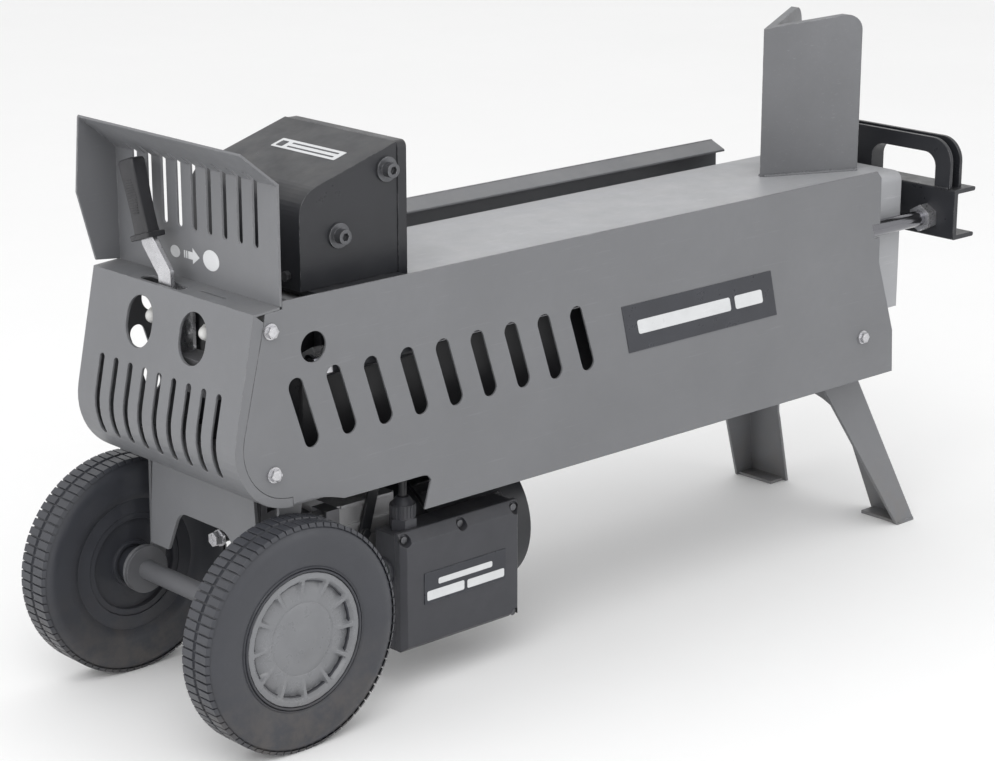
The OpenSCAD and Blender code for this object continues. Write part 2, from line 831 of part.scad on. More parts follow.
// Side outline of the pusher, moved inward by inset
module pusher_outline(inset) {
    r = 30;
    polygon(concat(
        [[pusher_x1, carriage_top - inset], [pusher_x1, pusher_top - inset / cos(pusher_slope)]],
        arc([pusher_x0 + r, pusher_edge_z(r)], r - inset, 90 + pusher_slope, 180, 8),
        [[pusher_x0 + inset, carriage_top - inset]]));
}

module pusher_shell() {
    wall = 5;
    color([0.2, 0.2, 0.21]) placed() difference() {
        plate_xz(-pusher_half, pusher_half) pusher_outline(0);
        plate_xz(-pusher_half + wall, pusher_half - wall) union() {
            pusher_outline(wall);
            translate([pusher_x1 - 20, carriage_top - wall]) square([25, pusher_top - carriage_top - 8]);
        }
    }
}

module pusher_face() {
    low = 463;
    half = pusher_half + 1;
    r = 7;
    color([0.2, 0.2, 0.21]) placed() plate_yz(pusher_x1, pusher_x1 + pusher_face_t)
        polygon(concat([[-half, low], [half, low]], arc([half - r, pusher_top - r], r, 0, 90, 6),
            arc([-half + r, pusher_top - r], r, 90, 180, 6)));
}

module pusher_carriage() {
    side_in = beam_half + 2;
    side_out = 114;
    color([0.25, 0.25, 0.26]) placed() difference() {
        union() {
            translate([carriage_x0, -side_out, 462])
                cube([carriage_x1 - carriage_x0, 2 * side_out, carriage_top - 462]);
            both_sides() translate([carriage_x0, -side_out, 380])
                cube([carriage_x1 - carriage_x0, side_out - side_in, carriage_top - 380]);
            both_sides() bar_x(carriage_x0, carriage_x1, 30, [-tie_rod_y, ram_z]);
            // block inside the pusher that its side screws hold
            translate([112, -pusher_half + 5, carriage_top - 1]) cube([85, 2 * pusher_half - 10, 23]);
            both_sides() translate([100, -pusher_half + 5, carriage_top - 1]) cube([97, 14, 101]);
        }
        both_sides() bar_x(carriage_x0 - 1, carriage_x1 + 1, tie_rod_d, [-tie_rod_y, ram_z]);
        both_sides() translate([carriage_x0 - 1, -side_in, 379]) cube([carriage_x1, 14, 83]);
    }
}

module pusher_bolts() {
    screws = [[182, 583.5], [116, 522.5]];
    color("gray") placed() {
        both_sides() for (at = screws) {
            difference() {
                union() {
                    bar_y(-pusher_half - 2.5, -pusher_half, 27, at);
                    bar_y(-pusher_half - 12.5, -pusher_half - 2.5, 16, at);
                }
                hex_y(-pusher_half - 13, -pusher_half - 7.5, 8, at);
            }
        }
        both_sides() hex_x(pusher_x0 - 5, pusher_x0, 10, [-74, 484]);
    }
}

module wear_pads() {
    gap = 0.25;
    color("darkgoldenrod") placed() {
        translate([80, -84, beam_top + gap]) cube([110, 168, 2 - gap]);
        both_sides() translate([80, -beam_half - 2, 384]) cube([110, 2 - gap, 50]);
    }
}

module tie_rods() {
    color("gainsboro") placed() both_sides() bar_x(56, 1098, tie_rod_d, [-tie_rod_y, ram_z]);
}

// Nuts of the tie rods and of the piston rod
module ram_nuts() {
    web_back = crosshead_x + 7;
    color("silver") placed() {
        both_sides() for (x = [59, carriage_x1, crosshead_x - 16, web_back]) difference() {
            hex_x(x, x + 16, 30, [-tie_rod_y, ram_z]);
            bar_x(x - 1, x + 17, tie_rod_d, [-tie_rod_y, ram_z]);
        }
        difference() {
            hex_x(web_back, web_back + 20, 34, [0, ram_z], 30);
            bar_x(web_back - 1, web_back + 21, 27, [0, ram_z]);
        }
    }
}

module crosshead() {
    low = 375;
    high = 440;
    web = 7;
    lip = 5.5;
    half = 161;
    x1 = crosshead_x + crosshead_depth;
    color([0.15, 0.15, 0.16]) placed() difference() {
        plate_xz(-half, half) offset(2.5) offset(-4) offset(1.5) polygon([[crosshead_x, low], [x1, low],
            [x1, low + lip], [crosshead_x + web, low + lip], [crosshead_x + web, high - lip],
            [x1, high - lip], [x1, high], [crosshead_x, high]]);
        both_sides() bar_x(crosshead_x - 1, crosshead_x + web + 1, tie_rod_d, [-tie_rod_y, ram_z]);
        bar_x(crosshead_x - 1, crosshead_x + web + 1, 27, [0, ram_z]);
    }
}

// Outline of one grip opening of the lifting handle, grown by g
module grip_opening(g) {
    translate([76, 440]) intersection() {
        offset(18 + g) translate([-34, -60]) square([68, 85.5]);
        translate([-80, 0]) square([160, 80]);
    }
}

module lift_handle() {
    x0 = crosshead_x;
    depth = 24;
    plate_t = 5;
    color([0.15, 0.15, 0.16]) placed() difference() {
        union() {
            for (x = [x0, x0 + depth - plate_t]) plate_yz(x, x + plate_t) handle_outline();
            plate_yz(x0, x0 + depth) intersection() {
                handle_outline();
                union() {
                    grip_opening(6);
                    mirror([1, 0]) grip_opening(6);
                }
            }
        }
        both_sides() plate_yz(x0 - 1, x0 + depth + 1) grip_opening(0);
    }
}

module handle_outline() {
    intersection() {
        offset(30) translate([-122, 400]) square([244, 73]);
        translate([-160, 440]) square([320, 80]);
    }
}

module piston_rod() {
    color("gainsboro") placed() {
        bar_x(432, crosshead_x, piston_rod_d, [0, ram_z]);
        bar_x(crosshead_x, crosshead_x + 30, 27, [0, ram_z]);
        bar_x(404, 432, 24, [0, ram_z]);
    }
}

module piston() {
    d = cylinder_bore - 0.12;
    color("silver") placed() difference() {
        bar_x(404, 432, d, [0, ram_z]);
        for (x = [409, 422]) difference() {
            bar_x(x, x + 5, d + 4, [0, ram_z]);
            bar_x(x - 1, x + 6, d - 10, [0, ram_z]);
        }
        bar_x(403, 433, 24, [0, ram_z]);
    }
}

module piston_seals() {
    color([0.1, 0.1, 0.1]) placed() for (x = [409, 422]) difference() {
        bar_x(x, x + 5, cylinder_bore - 0.06, [0, ram_z]);
        bar_x(x - 1, x + 6, cylinder_bore - 10.12, [0, ram_z]);
    }
}

// ---- Wheels ----

// Turns an outline of radius and side distance about the axle, on the given side
module wheel_part(side) {
    translate([0, 0, wheel_r]) rotate([side < 0 ? 90 : -90, 0, 0]) rotate_extrude($fn = 96) children();
}

module tyre(side) {
    wheel_part(side) polygon(concat(
        [[rim_r, wheel_in + 8], [84, wheel_in + 2]],
        arc([wheel_r - 12, wheel_in + 12], 12, 250, 360, 6),
        arc([wheel_r - 12, wheel_out - 12], 12, 0, 110, 6),
        [[84, wheel_out - 2], [rim_r, wheel_out - 6]]));
}

module rim(side) {
    bore = axle_d / 2 + 0.08;
    wheel_part(side) {
        polygon([[bore, hub_in], [19, hub_in], [19, 138], [60, 138], [60, wheel_in + 8],
            [rim_r, wheel_in + 8], [rim_r, wheel_out - 6], [62, wheel_out - 6], [62, 146],
            [19, 146], [19, 158], [bore, 158]]);
    }
}

// Hub cap with a raised middle and a ring of radial ribs
module hub_cap(side) {
    rib_count = 12;
    rib_w = 7;
    floor_y = wheel_out - 8;
    wheel_part(side) polygon([[0, wheel_out - 1.2], [10, wheel_out - 1.4], [18, wheel_out - 2.6],
        [26, wheel_out - 4.6], [39, wheel_out - 5.4], [42, floor_y], [58, floor_y], [61.5, wheel_out - 3],
        [65, wheel_out - 1.8], [70, wheel_out - 1.8], [hub_cap_r, wheel_out - 3],
        [hub_cap_r, wheel_out - 6], [62, wheel_out - 6], [60, floor_y - 3], [0, floor_y - 3]]);
    translate([0, 0, wheel_r]) rotate([side < 0 ? 90 : -90, 0, 0])
        for (i = [0:rib_count - 1]) rotate(i * 360 / rib_count)
            translate([38, -rib_w / 2, floor_y - 2]) cube([23.5, rib_w, 5]);
}

module tyre_near() {
    color([0.22, 0.22, 0.25]) placed() tyre(-1);
}

module tyre_far() {
    color([0.22, 0.22, 0.25]) placed() tyre(1);
}

module rim_near() {
    color([0.15, 0.15, 0.16]) placed() rim(-1);
}

module rim_far() {
    color([0.15, 0.15, 0.16]) placed() rim(1);
}

module hub_cap_near() {
    color("gray") placed() hub_cap(-1);
}

module hub_cap_far() {
    color("gray") placed() hub_cap(1);
}

main_beam();
side_panel_near();
side_panel_far();
front_cover();
hand_guard();
floor_pan();
wheel_bracket();
axle_tube();
axle_rod();
leg_stand();
wedge();
cylinder_tube();
cylinder_head();
oil_tank();
filler_caps();
drain_plug();
valve_block();
lever_bracket();
hydraulic_pipes();
pump_housing();
pump_cover();
pump_hangers();
motor_housing();
motor_stator();
fan_cover();
motor_bearings();
switch_box();
box_lid();
lid_screws();
cable_gland();
motor_cable();
lever_switch();
panel_bolts();
label_plates();
pusher_shell();
pusher_face();
pusher_carriage();
pusher_bolts();
wear_pads();
tie_rods();
ram_nuts();
crosshead();
lift_handle();
piston_rod();
piston();
piston_seals();
tyre_near();
tyre_far();
rim_near();
rim_far();
hub_cap_near();
hub_cap_far();
lever_strip();
lever_grip();
valve_spool();
start_button();
rotor_shaft();
motor_fan();
pump_gear_drive();
pump_gear_driven();
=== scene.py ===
import json
import math
import random

import bmesh
import bpy
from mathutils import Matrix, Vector


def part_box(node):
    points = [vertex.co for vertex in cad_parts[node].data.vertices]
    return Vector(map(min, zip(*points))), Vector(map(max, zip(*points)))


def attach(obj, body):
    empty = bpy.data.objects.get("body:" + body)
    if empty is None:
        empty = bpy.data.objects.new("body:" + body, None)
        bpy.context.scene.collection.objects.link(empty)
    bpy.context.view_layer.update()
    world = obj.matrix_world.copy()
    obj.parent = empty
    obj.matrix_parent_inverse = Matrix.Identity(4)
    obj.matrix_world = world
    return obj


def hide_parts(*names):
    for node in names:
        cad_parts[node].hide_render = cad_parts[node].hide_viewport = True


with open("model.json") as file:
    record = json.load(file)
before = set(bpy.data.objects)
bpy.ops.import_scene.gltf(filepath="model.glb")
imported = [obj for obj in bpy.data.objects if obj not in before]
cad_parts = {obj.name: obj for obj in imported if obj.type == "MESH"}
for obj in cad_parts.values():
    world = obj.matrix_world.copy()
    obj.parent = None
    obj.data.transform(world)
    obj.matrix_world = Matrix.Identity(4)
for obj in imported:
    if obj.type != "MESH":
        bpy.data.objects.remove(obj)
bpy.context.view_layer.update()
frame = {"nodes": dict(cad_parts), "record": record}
random.seed(7)

MM = 0.001
NODES = frame["nodes"]
BEAM_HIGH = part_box("main_beam")[1]
AXLE_X = (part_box("tyre_near")[0].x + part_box("tyre_near")[1].x) / 2
WHEEL_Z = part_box("tyre_near")[1].z / 2


def at(x, y, z):
    """A point given in mm from the axle, as a point of the frame in metres."""
    return Vector((AXLE_X + x * MM, y * MM, z * MM))


# ---------------------------------------------------------------- materials

class Tree:
    """Short calls for building one node material."""

    def __init__(self, name):
        self.mat = bpy.data.materials.new(name)
        self.mat.use_nodes = True
        self.nodes = self.mat.node_tree.nodes
        self.links = self.mat.node_tree.links
        self.nodes.clear()
        self.out = self.nodes.new("ShaderNodeOutputMaterial")
        self.bsdf = self.nodes.new("ShaderNodeBsdfPrincipled")
        self.links.new(self.bsdf.outputs[0], self.out.inputs[0])
        self.coord = self.nodes.new("ShaderNodeTexCoord")

    def link(self, a, b):
        self.links.new(a, b)

    def noise(self, scale, detail=4.0, rough=0.55, stretch=None):
        n = self.nodes.new("ShaderNodeTexNoise")
        n.inputs["Scale"].default_value = scale
        n.inputs["Detail"].default_value = detail
        n.inputs["Roughness"].default_value = rough
        source = self.coord.outputs["Object"]
        if stretch:
            m = self.nodes.new("ShaderNodeMapping")
            m.inputs["Scale"].default_value = stretch
            self.link(source, m.inputs["Vector"])
            source = m.outputs[0]
        self.link(source, n.inputs["Vector"])
        return n.outputs["Fac"]

    def ramp(self, fac, low, high, a=0.0, b=1.0):
        n = self.nodes.new("ShaderNodeMapRange")
        n.inputs["From Min"].default_value = low
        n.inputs["From Max"].default_value = high
        n.inputs["To Min"].default_value = a
        n.inputs["To Max"].default_value = b
        n.clamp = True
        self.link(fac, n.inputs["Value"])
        return n.outputs["Result"]

    def math(self, op, a, b):
        n = self.nodes.new("ShaderNodeMath")
        n.operation = op
        for i, v in enumerate((a, b)):
            if isinstance(v, (int, float)):
                n.inputs[i].default_value = v
            else:
                self.link(v, n.inputs[i])
        return n.outputs[0]

    def mix(self, fac, a, b):
        n = self.nodes.new("ShaderNodeMix")
        n.data_type = "RGBA"
        if isinstance(fac, (int, float)):
            n.inputs[0].default_value = fac
        else:
            self.link(fac, n.inputs[0])
        for i, v in ((6, a), (7, b)):
            if isinstance(v, (tuple, list)):
                n.inputs[i].default_value = (*v[:3], 1.0)
            else:
                self.link(v, n.inputs[i])
        return n.outputs[2]

    def round_normal(self, radius):
        n = self.nodes.new("ShaderNodeBevel")
        n.samples = 4
        n.inputs["Radius"].default_value = radius
        return n.outputs[0]

    def edge_mask(self, radius):
        """1 on sharp edges, 0 on flat faces."""
        geo = self.nodes.new("ShaderNodeNewGeometry")
        dot = self.nodes.new("ShaderNodeVectorMath")
        dot.operation = "DOT_PRODUCT"
        self.link(self.round_normal(radius), dot.inputs[0])
        self.link(geo.outputs["Normal"], dot.inputs[1])
        return self.ramp(dot.outputs["Value"], 0.985, 0.86)

    def up_mask(self):
        geo = self.nodes.new("ShaderNodeNewGeometry")
        sep = self.nodes.new("ShaderNodeSeparateXYZ")
        self.link(geo.outputs["Normal"], sep.inputs[0])
        return self.ramp(sep.outputs["Z"], 0.35, 0.95)

    def axis(self, name):
        sep = self.nodes.new("ShaderNodeSeparateXYZ")
        self.link(self.coord.outputs["Object"], sep.inputs[0])
        return sep.outputs[name]

    def height(self):
        return self.axis("Z")

    def bump(self, height, strength, distance, normal=None):
        n = self.nodes.new("ShaderNodeBump")
        n.inputs["Strength"].default_value = strength
        n.inputs["Distance"].default_value = distance
        self.link(height, n.inputs["Height"])
        if normal is not None:
            self.link(normal, n.inputs["Normal"])
        return n.outputs[0]


def shade(name, base, rough, metallic=0.0, vary=0.10, patch=9.0, grain=900.0, grain_depth=0.00004,
          wear=None, wear_amount=0.0, dust=0.0, mud=0.0, scratch=0.0, stretch=None, bevel=0.0008,
          coat=0.0, sheen=0.0, rough_vary=0.10, gloss=0.5, shade_zone=None):
    """A worn, uneven surface: colour patches, grain, roughness changes, rounded edges, dust and scratches, and
    an optional painted shade that takes a low zone almost to black.
    """
    t = Tree(name)
    light = [min(1.0, c * (1 + vary)) for c in base]
    dark = [c * (1 - vary) for c in base]
    big = t.noise(patch, 5.0, 0.6)
    fine = t.noise(patch * 14, 3.0, 0.6)
    colour = t.mix(t.ramp(big, 0.32, 0.68), dark, light)
    colour = t.mix(t.ramp(fine, 0.40, 0.75, 0.0, 0.35), colour, dark)
    roughness = t.ramp(t.noise(patch * 3.1, 5.0, 0.65), 0.3, 0.7, rough - rough_vary, rough + rough_vary)
    if wear:
        edge = t.math("MULTIPLY", t.edge_mask(0.0012), t.ramp(t.noise(70.0, 5.0, 0.7), 0.46, 0.62))
        colour = t.mix(t.math("MULTIPLY", edge, wear_amount), colour, wear)
    if scratch:
        lines = t.ramp(t.noise(14.0, 6.0, 0.75, (1.0, 22.0, 22.0)), 0.60, 0.66)
        lines = t.math("MULTIPLY", lines, scratch)
        colour = t.mix(lines, colour, [min(1.0, c * 1.5 + 0.08) for c in base])
        roughness = t.math("ADD", roughness, t.math("MULTIPLY", lines, 0.18))
    # Painted shade: below a given height and short of a given x the colour goes almost black, standing in for
    # the dark cavity behind the side vents.
    if shade_zone:
        cavity_shade = t.math("MULTIPLY", t.ramp(t.height(), shade_zone[0] + 0.002, shade_zone[0] - 0.002),
                        t.ramp(t.axis("X"), shade_zone[1] + 0.004, shade_zone[1] - 0.004))
        colour = t.mix(cavity_shade, colour, (0.018, 0.018, 0.021))
    if dust:
        film = t.math("MULTIPLY", t.up_mask(), t.ramp(t.noise(24.0, 6.0, 0.7), 0.42, 0.72))
        film = t.math("MULTIPLY", film, dust)
        colour = t.mix(film, colour, (0.46, 0.43, 0.38))
        roughness = t.math("ADD", roughness, t.math("MULTIPLY", film, 0.3))
    if mud:
        low = t.math("MULTIPLY", t.ramp(t.height(), 0.12, 0.0), t.ramp(t.noise(38.0, 6.0, 0.72), 0.40, 0.62))
        low = t.math("MULTIPLY", low, mud)
        colour = t.mix(low, colour, (0.20, 0.165, 0.125))
        roughness = t.math("ADD", roughness, t.math("MULTIPLY", low, 0.25))
    t.link(colour, t.bsdf.inputs["Base Color"])
    t.link(roughness, t.bsdf.inputs["Roughness"])
    t.bsdf.inputs["Metallic"].default_value = metallic
    t.bsdf.inputs["Specular IOR Level"].default_value = gloss
    t.bsdf.inputs["Coat Weight"].default_value = coat
    t.bsdf.inputs["Coat Roughness"].default_value = 0.25
    t.bsdf.inputs["Sheen Weight"].default_value = sheen
    normal = t.round_normal(bevel) if bevel else None
    relief = t.noise(grain, 2.0, 0.5, stretch)
    t.link(t.bump(relief, 0.5, grain_depth, normal), t.bsdf.inputs["Normal"])
    t.mat.diffuse_color = (*base, 1.0)
    return t.mat


PAINT_GREY = (0.153, 0.156, 0.165)
MAT = {
    # The beam's sides below its top plate, short of the rear end, carry painted shade so the side vents look
    # dark inside.
    "beam_paint": shade("light_grey_paint", (0.345, 0.350, 0.365), 0.42, vary=0.05, patch=7, grain=620,
                        wear=(0.50, 0.50, 0.50), wear_amount=0.6, dust=0.10, scratch=0.35, bevel=0.0016,
                        shade_zone=(BEAM_HIGH.z - 0.012, BEAM_HIGH.x - 0.075)),
    "panel_paint": shade("mid_grey_paint", PAINT_GREY, 0.42, vary=0.06, patch=5, grain=760,
                         grain_depth=0.00006, wear=(0.34, 0.34, 0.35), wear_amount=0.8, dust=0.06,
                         mud=0.2,
                         scratch=0.10, bevel=0.0014),
    "black_paint": shade("black_paint", (0.022, 0.023, 0.027), 0.36, vary=0.14, patch=8, grain=800,
                         wear=(0.24, 0.24, 0.25), wear_amount=0.85, dust=0.05, scratch=0.07,
                         bevel=0.0018, gloss=0.42),
    "axle_paint": shade("axle_paint", (0.110, 0.112, 0.120), 0.42, vary=0.10, patch=10, grain=700,
                        wear=(0.28, 0.28, 0.29), wear_amount=0.8, mud=0.15, bevel=0.0012),
    "wedge_steel": shade("wedge_paint", PAINT_GREY, 0.44, vary=0.08, patch=9, grain=520,
                         grain_depth=0.00006,
                         wear=(0.45, 0.45, 0.46), wear_amount=0.95, scratch=0.22, bevel=0.0016),
    "zinc_steel": shade("zinc_plate", (0.56, 0.56, 0.58), 0.30, metallic=0.9, vary=0.12, patch=60,
                        grain=900,
                        grain_depth=0.00003, wear=(0.25, 0.20, 0.15), wear_amount=0.35, bevel=0.0006),
    "dark_steel": shade("dark_steel", (0.115, 0.117, 0.125), 0.34, metallic=0.7, vary=0.14, patch=60,
                        grain=700,
                        grain_depth=0.00003, wear=(0.38, 0.38, 0.39), wear_amount=0.8, bevel=0.0008),
    "rod_chrome": shade("hard_chrome", (0.20, 0.20, 0.215), 0.15, metallic=1.0, vary=0.05, patch=14,
                        grain=500,
                        stretch=(1.0, 8.0, 8.0), grain_depth=0.00001, bevel=0.0006, rough_vary=0.05),
    "cast_aluminium": shade("cast_aluminium", (0.50, 0.50, 0.51), 0.45, metallic=0.8, vary=0.10,
                            patch=30, grain=420,
                            grain_depth=0.00016, wear=(0.75, 0.75, 0.75), wear_amount=0.5, dust=0.1,
                            bevel=0.0012),
    "cast_iron_grey": shade("machined_iron", (0.16, 0.16, 0.17), 0.45, metallic=0.6, vary=0.15,
                            patch=25, grain=380,
                            grain_depth=0.00014, wear=(0.5, 0.5, 0.5), wear_amount=0.5, bevel=0.001),
    "tyre_rubber": shade("tyre_rubber", (0.037, 0.039, 0.047), 0.42, vary=0.10, patch=12, grain=700,
                         grain_depth=0.00010, wear=(0.11, 0.11, 0.12), wear_amount=0.6, mud=0.22,
                         bevel=0.0009),
    "rim_plastic": shade("rim_plastic", (0.036, 0.038, 0.046), 0.46, vary=0.12, patch=20, grain=900,
                         wear=(0.1, 0.1, 0.11), wear_amount=0.4, mud=0.15, bevel=0.0014),
    "cap_plastic": shade("hub_cap_plastic", (0.172, 0.176, 0.186), 0.30, vary=0.06, patch=18, grain=900,
                         grain_depth=0.00003, wear=(0.36, 0.36, 0.37), wear_amount=0.6, mud=0.15,
                         scratch=0.06,
                         bevel=0.0010),
    "grip_rubber": shade("grip_rubber", (0.017, 0.017, 0.020), 0.36, vary=0.2, patch=30, grain=900,
                         wear=(0.07, 0.07, 0.075), wear_amount=0.6, dust=0.04, bevel=0.0014),
    "box_plastic": shade("box_plastic", (0.036, 0.037, 0.044), 0.46, vary=0.10, patch=14, grain=1100,
                         grain_depth=0.00008, wear=(0.13, 0.13, 0.14), wear_amount=0.6, dust=0.05,
                         bevel=0.0018),
    "cap_white": shade("pale_plastic", (0.55, 0.55, 0.54), 0.40, vary=0.06, patch=60, grain=900,
                       wear=(0.4, 0.38, 0.34), wear_amount=0.4, dust=0.1, bevel=0.0006),
    "button_green": shade("green_plastic", (0.02, 0.20, 0.06), 0.25, vary=0.10, patch=60, grain=900,
                          grain_depth=0.00002, wear=(0.1, 0.35, 0.15), wear_amount=0.4, bevel=0.0006,
                          coat=0.3),
    "label_black": shade("dark_label", (0.024, 0.026, 0.034), 0.34, vary=0.10, patch=20, grain=900,
                         grain_depth=0.00002, wear=(0.16, 0.16, 0.17), wear_amount=0.5, scratch=0.15,
                         bevel=0.0003),
    "pad_bronze": shade("oily_bronze", (0.42, 0.27, 0.10), 0.35, metallic=0.8, vary=0.15, patch=30,
                        grain=500,
                        wear=(0.6, 0.45, 0.2), wear_amount=0.6, bevel=0.0006),
    "seal_rubber": shade("seal_rubber", (0.02, 0.02, 0.02), 0.40, vary=0.15, patch=40, grain=900,
                         wear=(0.08, 0.08, 0.08), wear_amount=0.4, bevel=0.0004),
}
LABEL_PALE = shade("label_pale", (0.62, 0.63, 0.64), 0.36, vary=0.05, patch=40, grain=900,
                   grain_depth=0.00002,
                   wear=(0.4, 0.4, 0.4), wear_amount=0.5, scratch=0.2, bevel=0.0003)
LABEL_INK = shade("label_ink", (0.050, 0.051, 0.058), 0.45, vary=0.10, patch=40, grain=900,
                  grain_depth=0.00002,
                  wear=(0.14, 0.14, 0.14), wear_amount=0.5, bevel=0.0002)
FLOOR = shade("studio_floor", (0.90, 0.90, 0.90), 0.80, vary=0.008, patch=1.3, grain=220,
              grain_depth=0.00006,
              bevel=0.0, gloss=0.2)

for entry in frame["record"]["subparts"]:
    mesh = NODES[entry["node"]].data
    mesh.materials.clear()
    mesh.materials.append(MAT[entry["material_slot"]])


# ---------------------------------------------------------------- mesh tools

class Piece:
    """One added mesh, collected as faces in millimetres from the axle."""

    def __init__(self):
        self.bm = bmesh.new()

    def prism(self, outline, place, depth, bevel=0.0):
        """A closed outline pushed along the third axis. place(u, v, w) gives a point in mm."""
        low = [self.bm.verts.new(place(u, v, 0)) for u, v in outline]
        high = [self.bm.verts.new(place(u, v, depth)) for u, v in outline]
        faces = [self.bm.faces.new(low[::-1]), self.bm.faces.new(high)]
        n = len(outline)
        for i in range(n):
            faces.append(self.bm.faces.new((low[i], low[(i + 1) % n], high[(i + 1) % n], high[i])))
        if bevel:
            edges = list({e for f in faces for e in f.edges})
            bmesh.ops.bevel(self.bm, geom=edges, offset=bevel, segments=2, affect="EDGES", profile=0.6)

    def lathe(self, profile, centre, axis, steps=48, start=0.0, end=2 * math.pi):
        """A profile of (radius, distance) turned about an axis through centre."""
        axis = Vector(axis).normalized()
        side = axis.orthogonal().normalized()
        other = axis.cross(side)
        whole = abs(end - start - 2 * math.pi) < 1e-6
        rings = []
        count = steps if whole else steps + 1
        for i in range(count):
            a = start + (end - start) * i / steps
            out = side * math.cos(a) + other * math.sin(a)
            rings.append([self.bm.verts.new(Vector(centre) + out * max(r, 0.001) + axis * d)
                          for r, d in profile])
        for i in range(steps):
            p, q = rings[i], rings[(i + 1) % count]
            for j in range(len(profile) - 1):
                self.bm.faces.new((p[j], p[j + 1], q[j + 1], q[j]))

    def tube(self, path, radius, sides=12):
        """A round bead along a chain of points, closed at its ends."""
        path = [Vector(p) for p in path]
        up = Vector((0, 0, 1))
        rings = []
        for i, p in enumerate(path):
            run = (path[min(i + 1, len(path) - 1)] - path[max(i - 1, 0)]).normalized()
            side = run.cross(up if abs(run.z) < 0.9 else Vector((1, 0, 0))).normalized()
            other = run.cross(side)
            r = radius(i / (len(path) - 1)) if callable(radius) else radius
            rings.append([self.bm.verts.new(p + (side * math.cos(k * 2 * math.pi / sides)
                          + other * math.sin(k * 2 * math.pi / sides)) * r) for k in range(sides)])
        for a, b in zip(rings, rings[1:]):
            for k in range(sides):
                self.bm.faces.new((a[k], a[(k + 1) % sides], b[(k + 1) % sides], b[k]))
        self.bm.faces.new(rings[0][::-1])
        self.bm.faces.new(rings[-1])

    def done(self, name, material, body, smooth=None, replaces=()):
        bmesh.ops.recalc_face_normals(self.bm, faces=self.bm.faces)
        for v in self.bm.verts:
            v.co = at(*v.co)
        mesh = bpy.data.meshes.new(name)
        self.bm.to_mesh(mesh)
        self.bm.free()
        obj = bpy.data.objects.new(name, mesh)
        bpy.context.scene.collection.objects.link(obj)
        mesh.materials.append(material)
        if smooth:
            for p in mesh.polygons:
                p.use_smooth = True
            mesh.set_sharp_from_angle(angle=math.radians(smooth))
        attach(obj, body)
        if replaces:
            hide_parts(*replaces)
        return obj


def arc(cx, cy, r, a0, a1, n):
    return [(cx + r * math.cos(math.radians(a0 + (a1 - a0) * i / n)),
             cy + r * math.sin(math.radians(a0 + (a1 - a0) * i / n))) for i in range(n + 1)]


def oval(cx, cy, rx, ry, n):
    """An oval of n points, where n is even."""
    turns = [i * math.pi / (n // 2) for i in range(n)]
    return [(cx + rx * math.cos(a), cy + ry * math.sin(a)) for a in turns]


def soft_rect(u0, v0, u1, v1, r, n=4):
    return (arc(u1 - r, v1 - r, r, 0, 90, n) + arc(u0 + r, v1 - r, r, 90, 180, n)
            + arc(u0 + r, v0 + r, r, 180, 270, n) + arc(u1 - r, v0 + r, r, 270, 360, n))


# ---------------------------------------------------------------- wheels

